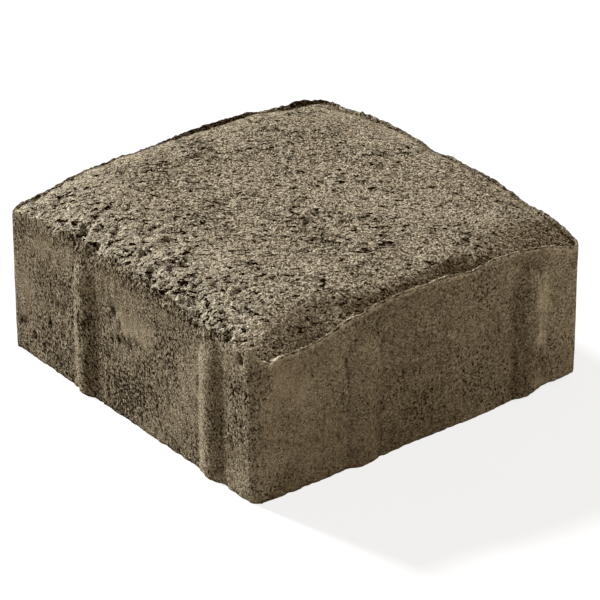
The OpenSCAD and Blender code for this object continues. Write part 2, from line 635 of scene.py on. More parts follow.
@dataclass(frozen=True)
class PressedTop:
    """How the pressed top is smeared, loosened, roughened and toned.

    A tone is a step on the concrete's ramp, where 1 leads from its darkest grain to its lightest.
    """

    looks: SurfaceLooks = SurfaceLooks(
        pressed=1.0, hollow_depth=0.9, hollow_painted_shade=1.0, smear_cover=0.4, grain=1.0, open_share=0.15,
        cracks=(0.2, 1.0), base_tone=0.04, proud_painted_highlight=0.45)

    # Paste on the rolls, whole over a part of their length, and on the shaded shoulder behind the right
    # front edge, which is known by its drop below the crown and its distance in
    smear: Swell = Swell(0.6, 0.4, 9.0, 61, 1)
    smeared_part: float = 0.35
    left_smear: float = 0.25
    shade_drop: Band = (0.6, 2.6)
    shade_in: Band = (22.0, 12.0)
    shade_smear: float = 0.9

    # Looseness of the mix, less towards the right and under paste, more behind the crumbled edge
    loose: Swell = Swell(0.3, 1.1, 10.0, 35)
    firm_across: Band = (-10.0, 60.0)
    firmness: float = 0.2
    smear_binds: float = 0.8
    shed_in: Band = (40.0, 8.0)
    shed_along: Band = (132.0, 112.0)
    shed_share: float = 0.8

    # Relief: broad swell, ledges, stones and holes, and the flakes and chunks of the crumbled band. It
    # fades out at the outline, later where the edge has crumbled.
    bend: tuple[Swell, Swell] = (Swell(0.0, 0.8, 2.6, 23, 1), Swell(0.0, 0.8, 2.6, 24, 1))
    uneven: Swell = Swell(-0.25, 0.3, 18.0, 21)
    ledges: Swell = Swell(0.0, 1.0, 5.0, 27)
    ledge_step: Band = (-0.08, 0.08)
    ledge_height: Band = (0.1, 0.9)
    grit: StoneLayer = StoneLayer(2.6, 0.6, 0.55, 31, (0.5, 0.5), 0.1)
    sand: StoneLayer = StoneLayer(1.5, 0.35, 0.6, 45, (0.7, 0.7), 0.3)
    holes: StoneLayer = StoneLayer(1.9, -0.8, 0.5, 41, (0.03, 0.23))
    chunks: StoneLayer = StoneLayer(3.4, 1.2, 0.62, 51, (0.5, 0.5))
    flakes: Swell = Swell(0.0, 2.5, 4.0, 57)
    flake_step: Band = (0.55, 1.0)
    flake_height: float = 0.6
    crumb_sink: float = 0.1
    spot_ragged: Swell = Swell(1.0, 0.9, 2.2, 71)
    spot_share: float = 0.75
    relief_fade: Band = (0.0, 2.0)
    crumb_reach: float = 3.0

    # Lip: its crest, its thickness, greater at the front corner, and its inner flank in thicknesses
    crest: tuple[Swell, Swell] = (Swell(0.0, 0.35, 1.8, 81), Swell(0.0, 0.25, 0.9, 89, 1))
    thickness: Swell = Swell(1.0, 0.3, 3.0, 83, 1)
    corner_reach: Band = (14.0, 6.0)
    corner_thicker: float = 0.6
    lip_flank: Band = (1.3, 0.8)

    # Tones: lighter where the mix has crumbled or shed, darker on the firm part and the lip. Painted shade
    # darkens the shaded shoulder and the inner flank of the back lips, and a painted highlight lightens the
    # lip by the front corner
    crumb_tone: float = 0.7
    shed_tone: float = 0.34
    firm_tone: float = -0.04
    # Painted shade on the shoulder behind the right front edge
    shade_along: Band = (20.0, 50.0)
    shoulder_painted_shade: Band = (-0.15, -0.27)
    lip_tone: Swell = Swell(-0.16, 0.2, 1.4, 85, 1)
    # Painted highlight on the lip by the front corner
    corner_in: Band = (4.0, 2.0)
    corner_painted_highlight: float = 0.5
    # Painted shade on the inner flank of the back lips
    back_in: Band = (6.0, 2.0)
    back_right_share: float = 0.5
    back_flank: Band = (1.9, 1.4)
    back_shade: Swell = Swell(0.8, 0.7, 8.0, 87, 1)
    back_painted_shade: float = -0.42


@dataclass(frozen=True)
class DrawnSides:
    """How the upright sides, drawn along the mould wall, are smeared, loosened, roughened and toned.

    A tone is a step on the concrete's ramp, where 1 leads from its darkest grain to its lightest. A band
    whose name ends in below is one of depths below the top edge.
    """

    looks: SurfaceLooks = SurfaceLooks(
        pressed=0.0, hollow_depth=0.6, hollow_painted_shade=1.8, smear_cover=0.8, grain=0.5, open_share=1.0,
        cracks=(0.0, 0.0), base_tone=-0.05, proud_painted_highlight=0.3)

    # Edges of the patches, and looseness of the mix, less on the right front side and more under the
    # crumbled edge
    patch_edge: tuple[Swell, Swell] = (Swell(0.0, 0.5, 7.0, 91), Swell(0.0, 0.5, 2.4, 95))
    patch_reach: Band = (1.2, 0.6)
    loose: Swell = Swell(0.5, 0.8, 12.0, 105)
    front_in: Band = (4.0, 1.5)
    front_firmness: float = 0.35
    shed_below: Band = (9.0, 3.0)
    shed_tone: float = -0.06

    # Painted highlight: a light line along the top of the right front side, where the worn edge catches the
    # light
    edge_below: Band = (1.5, 0.4)
    edge_painted_highlight: Swell = Swell(0.34, 0.3, 1.6, 117, 1)

    # Relief, in which combing and holes are drawn out upright, and what has come off at the top and bottom
    uneven: Swell = Swell(0.0, 0.12, 16.0, 111)
    combing: Swell = Swell(0.0, 0.1, 1.8, 115, 1)
    holes: StoneLayer = StoneLayer(2.2, -0.4, 0.45, 101, (0.05, 0.35))
    upright: float = 0.35
    spot_ragged: Swell = Swell(1.0, 0.8, 1.8, 121)
    spot_upright: float = 0.7
    relief_below: Band = (0.0, 1.5)
    chip_below: Band = (6.0, 2.0)
    chip_relief: Swell = Swell(0.0, 0.5, 2.6, 135)
    chip_reach: Swell = Swell(3.0, 2.0, 7.0, 133)
    bottom_above: Band = (1.2, 0.0)
    bottom_ragged: Swell = Swell(0.25, 0.6, 2.2, 141)


@dataclass
class PavingStone:
    """The stone: a block with a pillowed top, uneven edges with a thin lip, and two nibs on each side.

    Sizes and the larger dips and swells are those of the solid. Smaller waves, spots and stones are the
    looks' own.
    """

    face_half: float
    crown: float
    nib_out: float = 1.5
    nib_width: float = 13.0
    nib_round: float = 1.25
    nib_stop: float = 10.0
    nib_lead: float = 6.0
    nib_places: tuple[float, float] = (44.0, 113.5)
    corner_r: float = 4.0
    roll_in: float = 10.5
    roll_drop: float = 5.0
    roll_leave: float = 8.0
    fall_in: float = 45.0
    fall_drop: float = 6.3
    fall_leave: float = 2.0
    lip_width: float = 1.2
    lip_height: float = 1.7
    horn_height: float = 5.4
    horn_reach: float = 7.2
    horn_place: float = 4.0

    # Cells along the top's grid, rows of the sides with their crowding at both ends, rings of the underside
    top_cells: int = 224
    wall_rows: int = 46
    row_crowding: float = 0.6
    underside_rings: tuple[float, ...] = (0.99, 0.9, 0.6, 0.3)

    # Dips and swells of the solid, which reach inwards by so many rolls, and the rounding of their creases
    dips: tuple[EdgeBar, ...] = (
        EdgeBar(Side.RIGHT_FRONT, 8, -6.4, 160, 30),
        EdgeBar(Side.RIGHT_FRONT, 88, -1.5, 32, 33),
        EdgeBar(Side.LEFT_FRONT, 107, -1.9, 80, 24),
    )
    swells: tuple[EdgeBar, ...] = (
        EdgeBar(Side.BACK_LEFT, 14, -0.4, 45, -2),
        EdgeBar(Side.BACK_LEFT, 53, 2.0, 90, 9),
        EdgeBar(Side.LEFT_FRONT, 40, 2.4, 14, 5),
        EdgeBar(Side.LEFT_FRONT, 70, 1.0, 85, 13),
    )
    dip_rolls: float = 2.4
    swell_rolls: float = 1.5
    rounding: float = 0.25

    waves: tuple[EdgeWave, ...] = (
        EdgeWave(Side.RIGHT_FRONT, 4, -0.8, 5, 8),
        EdgeWave(Side.RIGHT_FRONT, 24, -0.6, 5, 8),
        EdgeWave(Side.RIGHT_FRONT, 36, 0.7, 5, 8),
        EdgeWave(Side.RIGHT_FRONT, 126, -0.9, 10, 13),
        EdgeWave(Side.BACK_RIGHT, 28, -1.8, 9, 11),
        EdgeWave(Side.BACK_RIGHT, 75, -1.2, 6, 12),
        EdgeWave(Side.BACK_RIGHT, 117, 0.6, 7, 12),
        EdgeWave(Side.BACK_LEFT, 4, -0.9, 5, 12),
        EdgeWave(Side.BACK_LEFT, 23, 0.9, 4, 12),
        EdgeWave(Side.BACK_LEFT, 34, 1.4, 8, 12),
        EdgeWave(Side.BACK_LEFT, 68, 0.6, 80, 10),
        EdgeWave(Side.BACK_LEFT, 75, 0.8, 12, 12),
        EdgeWave(Side.BACK_LEFT, 91, 0.8, 4, 10),
        EdgeWave(Side.BACK_LEFT, 107, 0.7, 7, 10),
        EdgeWave(Side.BACK_LEFT, 115, -0.5, 8, 12),
        EdgeWave(Side.BACK_LEFT, 132, 0.7, 5, 10),
        EdgeWave(Side.LEFT_FRONT, 3, 1.0, 6, 10),
        EdgeWave(Side.LEFT_FRONT, 26, -2.0, 5, 9),
        EdgeWave(Side.LEFT_FRONT, 52, -0.9, 5, 9),
    )
    wave_fade: float = 1.2
    lip_breaks: tuple[LipBreak, ...] = (
        LipBreak(Side.LEFT_FRONT, 26, 122, 1.0),
        LipBreak(Side.BACK_LEFT, -10, 147, 0.45),
    )
    break_fade: float = 4.0
    lip_uneven: Swell = Swell(1.0, 0.35, 7.0, 11)

    # Crumbled band along the left front edge, and how far in its chips make the top lean back
    crumble_start: Band = (20.0, 32.0)
    crumble_end: Band = (128.0, 118.0)
    crumble_in: Band = (17.0, 2.0)
    chip: Swell = Swell(1.0, 1.3, 3.5, 131)
    chip_depth: float = 10.0

    # Worn bottom edge at the right corner, and the softening of the top edge
    worn_height: float = 2.4
    worn_run: float = 44.0
    worn_depth: float = 7.0
    worn_uneven: Swell = Swell(1.0, 0.3, 5.0, 145)
    soften: float = 0.3
    soften_reach: float = 0.8

    spots: tuple[Spot, ...] = (
        Spot(27, 50, 3.0, -1.2), Spot(31, 48, 2.0, -1.2), Spot(23, 52, 2.0, -0.9),
        Spot(-3, 41, 2.6, -1.3), Spot(0, 39, 1.8, -1.0), Spot(5, 57, 2.4, -1.0),
        Spot(26, 5, 2.6, -1.2), Spot(40, 3, 2.4, -1.3), Spot(36, 6, 1.8, -0.9),
        Spot(6, -22, 3.0, -1.4), Spot(8, -17, 2.0, -1.0), Spot(32, -20, 2.2, -1.2),
        Spot(-19, 12, 2.6, -1.2), Spot(-7, 11, 2.2, -1.0), Spot(5, 16, 2.2, -1.0),
        Spot(-37, -40, 2.6, -1.2), Spot(35, -48, 1.8, -1.0), Spot(-20, -29, 2.2, -1.1),
        Spot(-52, 13, 2.4, -1.2), Spot(-24, -59, 2.0, -1.0), Spot(-20, -60, 1.6, -0.8),
        Spot(-64, 30, 2.6, -2.6), Spot(-67, -44, 1.8, -1.4), Spot(-53, -38, 2.0, -1.0),
        Spot(-60, -34.5, 2.6, 1.3), Spot(-56.5, 35, 2.6, 1.1), Spot(43, 1, 1.8, 0.6),
        Spot(-60, 4, 2.2, 0.9), Spot(-56, -12, 2.0, 0.8), Spot(-50, 24, 1.8, 0.7),
    )
    side_spots: tuple[SideSpot, ...] = (
        SideSpot(Side.LEFT_FRONT, 32, 25.5, 2.0, 0.7), SideSpot(Side.LEFT_FRONT, 28, 27, 1.6, 0.6),
        SideSpot(Side.LEFT_FRONT, 61.5, 38, 1.9, 0.7), SideSpot(Side.LEFT_FRONT, 64, 28, 1.8, 0.6),
        SideSpot(Side.LEFT_FRONT, 67, 28.5, 1.7, 0.6), SideSpot(Side.LEFT_FRONT, 70, 28.7, 1.6, 0.6),
        SideSpot(Side.LEFT_FRONT, 47.5, 29, 2.0, 0.7), SideSpot(Side.LEFT_FRONT, 8, 11.5, 2.0, 0.7),
        SideSpot(Side.LEFT_FRONT, 14, 9, 1.7, 0.6), SideSpot(Side.LEFT_FRONT, 24, 17.5, 1.8, 0.6),
        SideSpot(Side.LEFT_FRONT, 129, 50, 1.6, 1.4),
    )
    patches: tuple[SidePatch, ...] = (
        SidePatch(Side.LEFT_FRONT, 73, 36, 11, 4.5, 0.65, 0.03),
        SidePatch(Side.LEFT_FRONT, 8, 27, 6, 4, 0.5, 0.05),
        SidePatch(Side.LEFT_FRONT, 20, 44, 9, 4, 0.4, 0.04),
        # Painted shade on the flank of the nib at 44 that faces away from the light
        SidePatch(Side.LEFT_FRONT, 46.5, 18, 4, 30, 0.0, -0.12),
        SidePatch(Side.LEFT_FRONT, 112, 30, 24, 50, 0.0, 0.05),
        # Painted shade on the flank of the nib at 113.5 that faces away from the light
        SidePatch(Side.LEFT_FRONT, 116.5, 18, 4, 30, 0.0, -0.12),
        # Painted highlight, with some smear, on the lit flank of the nib at 44
        SidePatch(Side.LEFT_FRONT, 40, 18, 2, 30, 0.3, 0.05),
        # Painted highlight, with some smear, on the lit flank of the nib at 113.5
        SidePatch(Side.LEFT_FRONT, 109.5, 18, 2, 30, 0.25, 0.03),
        SidePatch(Side.RIGHT_FRONT, 14, 42, 9, 9, 0.6, 0.03),
        SidePatch(Side.RIGHT_FRONT, 26, 25, 28, 30, 0.3, 0.05),
        SidePatch(Side.RIGHT_FRONT, 98, 28, 20, 50, 0.0, 0.08),
        # Painted shade on the left flank of the nib at 113.5
        SidePatch(Side.RIGHT_FRONT, 110.5, 26, 4.5, 34, 0.0, -0.08),
        SidePatch(Side.RIGHT_FRONT, 128, 28, 11, 40, 0.1, 0.2),
        # Painted highlight on the right flank of the nib at 113.5, down to its foot
        SidePatch(Side.RIGHT_FRONT, 120, 30, 2.5, 18, 0.3, 0.18),
        SidePatch(Side.RIGHT_FRONT, 119, 3, 3, 6, 0.3, 0.18),
    )
    pressed_top: PressedTop = PressedTop()
    drawn_sides: DrawnSides = DrawnSides()

    def plan(self) -> np.ndarray:
        """Lays a grid over the plan, finer towards the faces and rounded at the corners.

        Across, t runs from -1 to 1 in even steps and the place is (1 + k)t - kt¹³ of the half width,
        where a k of 1/24 halves the steps at the faces. In a corner square of side r, the point a, b, as
        parts of r from the corner's centre, goes to a√(1 - b²/2), b√(1 - a²/2), which turns the square
        into a quarter disc.

        Returns:
            x and y of each grid point, along the last axis.
        """
        t = np.linspace(-1, 1, self.top_cells + 1)
        squeeze = 1 / 24
        line = self.face_half * ((1 + squeeze) * t - squeeze * t ** 13)
        square = np.stack(np.meshgrid(line, line, indexing="ij"), axis=-1)
        core = self.face_half - self.corner_r
        size = np.abs(square)
        part = np.clip(size - core, 0, None) / self.corner_r
        other = part[..., ::-1]
        pulled = np.minimum(size, core) + self.corner_r * part * np.sqrt(1 - other ** 2 / 2)
        return np.sign(square) * pulled

    def side_frames(self, plan: np.ndarray) -> tuple[np.ndarray, np.ndarray]:
        """Reads each plan point from each side: how far along it, and how far in from its face.

        Args:
            plan: x and y along the last axis.

        Returns:
            Places along and distances in, each with the four sides along a new last axis.
        """
        x, y, half = plan[..., 0], plan[..., 1], self.face_half
        along = np.stack([half + x, half + y, half - x, half - y], axis=-1)
        inward = np.stack([half + y, half - x, half - y, half + x], axis=-1)
        return along, inward

    def edge_point(self, plan: np.ndarray) -> tuple[np.ndarray, np.ndarray, np.ndarray]:
        """Finds the nearest point of the rounded outline to each plan point.

        In a corner's square the nearest point lies straight out from the corner's centre, elsewhere
        straight out to the nearest face.

        Args:
            plan: x and y along the last axis.

        Returns:
            The distance to the outline, the outward direction, and the nearest point itself.
        """
        tiny = 1e-9
        core = self.face_half - self.corner_r
        size = np.abs(plan)
        out = np.clip(size - core, 0, None)
        nearer = size >= size.max(axis=-1, keepdims=True)
        out = np.where(out.sum(axis=-1, keepdims=True) > tiny, out, nearer * tiny)
        length = np.linalg.norm(out, axis=-1, keepdims=True)
        direction = np.sign(plan) * out / length
        corner = np.all(size > core, axis=-1)
        distance = np.where(corner, self.corner_r - length[..., 0], self.face_half - size.max(axis=-1))
        return distance, direction, plan + direction * distance[..., None]

    def pillow(self, plan: np.ndarray) -> np.ndarray:
        """Height of the plain pressed top.

        The crown is level. Along each face it rolls down on one arc, and outside a circle it falls away on
        another. The drops join as the sixth root of the sum of their sixth powers, which rounds creases.

        Args:
            plan: x and y along the last axis.

        Returns:
            The height of each point.
        """
        inward = self.side_frames(plan)[1]
        rolls = arc_drop(self.roll_in - inward, self.roll_in, self.roll_drop, self.roll_leave)
        tip = self.face_half * math.sqrt(2) - (math.sqrt(2) - 1) * self.corner_r
        beyond = np.linalg.norm(plan, axis=-1) - (tip - self.fall_in)
        fall = arc_drop(beyond, self.fall_in, self.roll_drop + self.fall_drop, self.fall_leave)
        drops = np.concatenate([rolls, fall[..., None]], axis=-1)
        return self.crown - np.sum(drops ** 6, axis=-1) ** (1 / 6)

    def pressed_form(self, plan: np.ndarray) -> np.ndarray:
        """Height of the top with its uneven edges, before the lip and the open grain.

        The line of a dip or swell climbs inwards from the face. Along the edge it curves away by
        R - √(R² - d²), where d is the distance from its middle. A swell takes the higher of both
        surfaces and a dip the lower, rounded as k ln(e^(a/k) + e^(b/k)) with a small k. Small waves are
        then added as bell curves along the edge that fade inwards.

        Args:
            plan: x and y along the last axis.

        Returns:
            The height of each point.
        """
        along, inward = self.side_frames(plan)
        height = self.pillow(plan)
        k = self.rounding
        for way, rolls, bars in ((1, self.swell_rolls, self.swells), (-1, self.dip_rolls, self.dips)):
            for bar in bars:
                apart, depth = along[..., bar.side] - bar.place, inward[..., bar.side]
                slope = math.radians(bar.slope)
                curve = bar.radius - np.sqrt(np.clip(bar.radius ** 2 - apart ** 2, 0, None))
                line = self.crown - self.roll_drop + bar.rise + math.tan(slope) * depth
                line = line - way * curve / math.cos(slope)
                joined = way * k * np.logaddexp(way * height / k, way * line / k)
                within = (np.abs(apart) < bar.radius) & (depth < rolls * self.roll_in)
                height = np.where(within, joined, height)
        for wave in self.waves:
            bell = np.exp(-((along[..., wave.side] - wave.place) / wave.reach) ** 2)
            fade = np.clip(1 - inward[..., wave.side] / wave.depth, 0, 1) ** self.wave_fade
            height = height + wave.rise * bell * fade
        return height

    def lip_crest(self, edge: np.ndarray) -> np.ndarray:
        """Height of the lip's crest, at points of the outline.

        It stands above the pressed form by the lip's height, which wanders, and is lower or gone along the
        breaks. At the front corner it follows the flank of a cone up to the horn.

        Args:
            edge: x and y of outline points, along the last axis.

        Returns:
            The crest's height at each point.
        """
        along, inward = self.side_frames(edge)
        left = np.ones(edge.shape[:-1])
        for gap in self.lip_breaks:
            place, fade = along[..., gap.side], self.break_fade
            within = ease(gap.start - fade, gap.start + fade, place)
            within = within * ease(gap.end + fade, gap.end - fade, place)
            left -= gap.share * within * (inward[..., gap.side] < self.corner_r)
        height = self.lip_height * self.lip_uneven.at(level(edge)) * np.clip(left, 0, None)
        tip = np.array([-self.lip_width, self.horn_place]) - self.face_half
        flank = 1 - np.linalg.norm(edge - tip, axis=-1) / self.horn_reach
        corner_lip = self.crown - self.roll_drop - self.fall_drop + self.lip_height
        return np.maximum(self.pressed_form(edge) + height, corner_lip + self.horn_height * flank)

    def crumbled(self, plan: np.ndarray) -> np.ndarray:
        """Share of crumbling, from 0 to 1, in the rough band along the left front edge.

        It is the product of three eased steps: in at the band's start, out at its end, and out inwards.

        Args:
            plan: x and y along the last axis.

        Returns:
            The share at each point.
        """
        along, inward = self.side_frames(plan)
        place = along[..., Side.LEFT_FRONT]
        window = ease(*self.crumble_start, place) * ease(*self.crumble_end, place)
        return window * ease(*self.crumble_in, inward[..., Side.LEFT_FRONT])

    def chips(self, edge: np.ndarray) -> np.ndarray:
        """Depth to which the crumbled edge has fallen back from its face: a swell, never below nothing.

        Args:
            edge: x and y of outline points, along the last axis.

        Returns:
            The depth at each point.
        """
        return self.crumbled(edge) * np.clip(self.chip.at(level(edge)), 0, None)

    def worn_foot(self, plan: np.ndarray) -> np.ndarray:
        """Height to which the bottom edge is worn away at the right corner.

        It is greatest at the corner, and falls off evenly along the right front side and, faster, inwards.

        Args:
            plan: x and y along the last axis.

        Returns:
            The height of the underside at each point.
        """
        inward = self.side_frames(plan)[1]
        along = np.clip(1 - inward[..., Side.BACK_RIGHT] / self.worn_run, 0, 1)
        depth = np.clip(1 - inward[..., Side.RIGHT_FRONT] / self.worn_depth, 0, 1)
        return self.worn_height * along * depth * self.worn_uneven.at(level(plan))

    def open_grain(self, plan: np.ndarray, loose: np.ndarray, crumbled: np.ndarray) -> np.ndarray:
        """Relief of the top: stones, ledges and holes of the open mix, and lumps where it has crumbled.

        Everything is read at places that a swell has bent, so that no stone is round. Ledges step up where
        a swell crosses nothing. Flakes are a swell cut into levels, with an eased step between them. A spot
        is 1 - d² of its height, where d is the distance in radii, made ragged.

        Args:
            plan: x and y along the last axis.
            loose: share of looseness of the mix.
            crumbled: share of crumbling.

        Returns:
            The relief of each point, about nothing on the whole.
        """
        look = self.pressed_top
        places = level(plan)
        bend = [swell.at(places) for swell in look.bend]
        bent = places + np.stack(bend + [np.zeros(plan.shape[:-1])], axis=-1)
        ledges = ease(*look.ledge_step, look.ledges.at(bent)) * between(look.ledge_height, loose)
        stones = heads(bent, look.grit, loose) + heads(bent, look.sand, loose)
        relief = look.uneven.at(places) + ledges + stones + heads(bent, look.holes, loose)

        levels = look.flakes.at(bent)
        flakes = np.floor(levels) + ease(*look.flake_step, levels - np.floor(levels))
        crumbs = look.flake_height * flakes + heads(bent, look.chunks, loose) - look.crumb_sink
        relief = relief + crumbled * crumbs
        ragged = look.spot_ragged.at(places)
        for spot in self.spots:
            far = np.hypot(plan[..., 0] - spot.x, plan[..., 1] - spot.y) / spot.radius * ragged
            relief += look.spot_share * spot.height * np.clip(1 - far ** 2, 0, None)
        return relief

    def top(self, plan: np.ndarray) -> dict[str, np.ndarray]:
        """Shapes the top and says how it looks.

        The open grain lies on the pressed form and fades out at the outline. Within the lip's thickness the
        surface is lifted to the crest where it lies lower. Smear is the larger of that of the rolls and
        that of the shaded shoulder. Looseness is a swell, whole in the crumbled band and raised behind it.
        The change of tone is a sum of steps, each times its own share: among them painted shade on the
        shaded shoulder and on the inner flank of the back lips, and a painted highlight on the lip by the
        front corner.

        Args:
            plan: x and y of the grid, along the last axis.

        Returns:
            By name, the height of each point, its smear with paste, its looseness and its change of tone.
        """
        look = self.pressed_top
        places = level(plan)
        distance, _, edge = self.edge_point(plan)
        along, inward = self.side_frames(plan)
        from_right, from_left = inward[..., Side.RIGHT_FRONT], inward[..., Side.LEFT_FRONT]
        crumbled = self.crumbled(plan)
        form = self.pressed_form(plan)

        roll = ease(self.roll_in, look.smeared_part * self.roll_in, inward)
        roll[..., Side.LEFT_FRONT] *= look.left_smear
        shaded = ease(*look.shade_drop, self.crown - form) * ease(*look.shade_in, from_right)
        smear = np.maximum(roll.max(axis=-1) * look.smear.at(places), look.shade_smear * shaded)
        smear = np.clip(smear, 0, 1) * (1 - crumbled)
        firm = ease(*look.firm_across, plan[..., 0])
        loose = np.clip(look.loose.at(places) - look.firmness * firm, 0, 1)
        loose = np.maximum(loose * (1 - look.smear_binds * smear), crumbled)
        shed = ease(*look.shed_in, from_left) * ease(*look.shed_along, along[..., Side.LEFT_FRONT])
        shed = look.shed_share * shed
        loose = loose + (1 - loose) * shed * (1 - smear)

        relief = self.open_grain(plan, loose, crumbled)
        height = form + relief * ease(*look.relief_fade, distance + look.crumb_reach * crumbled)
        crest = self.lip_crest(edge) + sum(swell.at(places) for swell in look.crest)
        corner = ease(*look.corner_reach, np.linalg.norm(plan + self.face_half, axis=-1))
        flank = distance / self.lip_width / (look.thickness.at(places) + look.corner_thicker * corner)
        wall = ease(*look.lip_flank, flank) * (1 - crumbled)
        height = height + np.clip(crest - height, 0, None) * wall

        lift = look.crumb_tone * crumbled + look.shed_tone * shed * (1 - crumbled) + look.firm_tone * firm
        # Painted shade on the shoulder behind the right front edge, which faces away from the key light
        shade = between(look.shoulder_painted_shade, ease(*look.shade_along, along[..., Side.RIGHT_FRONT]))
        lift = lift + shade * shaded * (1 - wall)
        # Painted highlight on the lip by the front corner, whose top catches the light
        lit = look.corner_painted_highlight * corner * ease(*look.corner_in, from_right)
        lift = lift + (lit + look.lip_tone.at(places)) * wall
        # Painted shade on the inner flank of the lips along the back edges, which face away from the light
        back_right = look.back_right_share * ease(*look.back_in, inward[..., Side.BACK_RIGHT])
        behind = np.maximum(ease(*look.back_in, inward[..., Side.BACK_LEFT]), back_right)
        behind = behind * ease(*look.back_flank, flank) * np.clip(look.back_shade.at(places), 0, 1)
        return {"height": height, "smear": smear, "loose": loose, "lift": lift + look.back_painted_shade * behind}

    def ring(self) -> tuple[np.ndarray, np.ndarray]:
        """Walks round the top grid's border, anticlockwise from the front corner.

        Returns:
            The border points' numbers in the flattened grid, and the side that each belongs to.
        """
        n = self.top_cells
        steps = np.arange(n)
        last = np.full(n, n)
        none = np.zeros(n, int)
        across = np.concatenate([steps, last, n - steps, none])
        up = np.concatenate([none, steps, last, n - steps])
        return across * (n + 1) + up, np.repeat(np.arange(4), n)

    def sides(self, places: np.ndarray, side: np.ndarray, along: np.ndarray,
              below: np.ndarray) -> dict[str, np.ndarray]:
        """Shapes the upright sides and says how they look.

        A nib is a low round rib, a power of 1 - d² of its height, where d is the distance in half widths.
        A slanted lead is taken off it below the edge. Fine relief and holes fade out at the top edge. From
        the whole are taken the chips of the crumbled edge, a ragged bottom edge and a soft top edge.

        Args:
            places: x, y and z of the points on the flat faces, along the last axis.
            side: the number of the side that each point is on.
            along: each point's distance along that side.
            below: each point's depth below the top edge.

        Returns:
            By name, how far each point stands out, its smear with paste, its looseness and its tone.
        """
        look = self.drawn_sides
        plan, z = places[..., :2], places[..., 2]
        crumbled = self.crumbled(plan)
        lead = np.clip((z - (self.crown - self.nib_stop - self.nib_lead)) / self.nib_lead, 0, 1)
        nibs = np.zeros(z.shape)
        for nib in self.nib_places:
            across = np.clip(1 - (2 * (along - nib) / self.nib_width) ** 2, 0, None)
            nibs += np.clip(self.nib_out * (across ** self.nib_round - lead), 0, None)

        smear = np.zeros(z.shape)
        lift = np.zeros(z.shape)
        uneven = sum(swell.at(places) for swell in look.patch_edge)
        # Patches give smear and tone; those on the nibs' flanks are painted highlight and painted shade
        for patch in self.patches:
            far = np.hypot((along - patch.place) / patch.half_length, (z - patch.z) / patch.half_height)
            share = ease(*look.patch_reach, far + uneven) * (side == patch.side)
            smear = np.maximum(smear, patch.cover * share)
            lift += patch.lift * share
        front = ease(*look.front_in, self.face_half + places[..., 1])
        shed = crumbled * ease(*look.shed_below, below)
        loose = np.clip(look.loose.at(places), 0, 1) * (1 - smear) * (1 - look.front_firmness * front)
        loose = np.maximum(loose, shed)
        smear = smear * (1 - shed)
        # Painted highlight along the top edge of the right front side
        lit = np.clip(look.edge_painted_highlight.at(places), 0, None) * ease(*look.edge_below, below)
        lift = lift + look.shed_tone * shed + front * lit

        upright = places * np.array([1.0, 1.0, look.upright])
        relief = look.uneven.at(places) + look.combing.at(upright) + heads(upright, look.holes, loose)
        ragged = look.spot_ragged.at(places)
        for spot in self.side_spots:
            far = np.hypot(along - spot.place, look.spot_upright * (z - spot.z)) / spot.radius * ragged
            relief -= spot.depth * np.clip(1 - far ** 2, 0, None) * (side == spot.side)
        relief = relief + crumbled * ease(*look.chip_below, below) * look.chip_relief.at(places)

        taken = self.chips(plan) * ease(1.0, 0.0, below / look.chip_reach.at(level(plan)))
        bottom = np.clip(look.bottom_ragged.at(places), 0, None)
        taken = taken + bottom * ease(*look.bottom_above, z - self.worn_foot(plan))
        taken = taken + self.soften * ease(self.soften_reach, 0.0, below)
        return {"height": nibs + relief * ease(*look.relief_below, below) - taken,
                "smear": smear, "loose": loose, "lift": lift}

    def build(self) -> bpy.types.Object:
        """Makes the closed mesh: the top's grid, the sides as rows below its border, and the underside.

        Rows lie closer together at both ends, at (1 - cos πv)/2 mixed with v, where v runs from 0 to 1.
        Chips and the soft edge make the top lean in from its outline. The underside closes in rings to its
        middle.

        Returns:
            The stone, in place, with the attributes that the concrete reads.
        """
        plan = self.plan()
        top_grid = self.top(plan)
        height = top_grid["height"]
        numbers, side = self.ring()
        border = plan.reshape(-1, 2)[numbers]
        rim = height.reshape(-1)[numbers]
        along = np.take_along_axis(self.side_frames(border)[0], side[:, None], axis=1)[:, 0]
        outward = self.edge_point(border)[1]

        v = np.linspace(0, 1, self.wall_rows + 1)
        v = self.row_crowding * (1 - np.cos(math.pi * v)) / 2 + (1 - self.row_crowding) * v
        z = rim - (rim - self.worn_foot(border)) * v[:, None]
        wall = np.concatenate([np.broadcast_to(border, z.shape + (2,)), z[..., None]], axis=-1)
        side_grid = self.sides(wall, np.broadcast_to(side, z.shape), np.broadcast_to(along, z.shape),
                               rim[None, :] - z)
        wall[..., :2] += outward * side_grid["height"][..., None]

        distance, direction, edge = self.edge_point(plan)
        lean = self.chips(edge) * ease(self.chip_depth, 0.0, distance)
        lean = lean + self.soften * ease(self.soften_reach, 0.0, distance)
        top = np.concatenate([plan - direction * lean[..., None], height[..., None]], axis=-1)
        top = top.reshape(-1, 3)
        top[numbers, :2] = wall[0, :, :2]

        count, columns = len(top), len(numbers)
        inset = np.array(self.underside_rings)
        under = np.zeros((len(inset), columns, 3))
        under[..., :2] = inset[:, None, None] * wall[-1, :, :2]
        under[..., 2] = self.worn_foot(under[..., :2])
        vertices = np.concatenate([top, wall[1:].reshape(-1, 3), under.reshape(-1, 3), np.zeros((1, 3))])

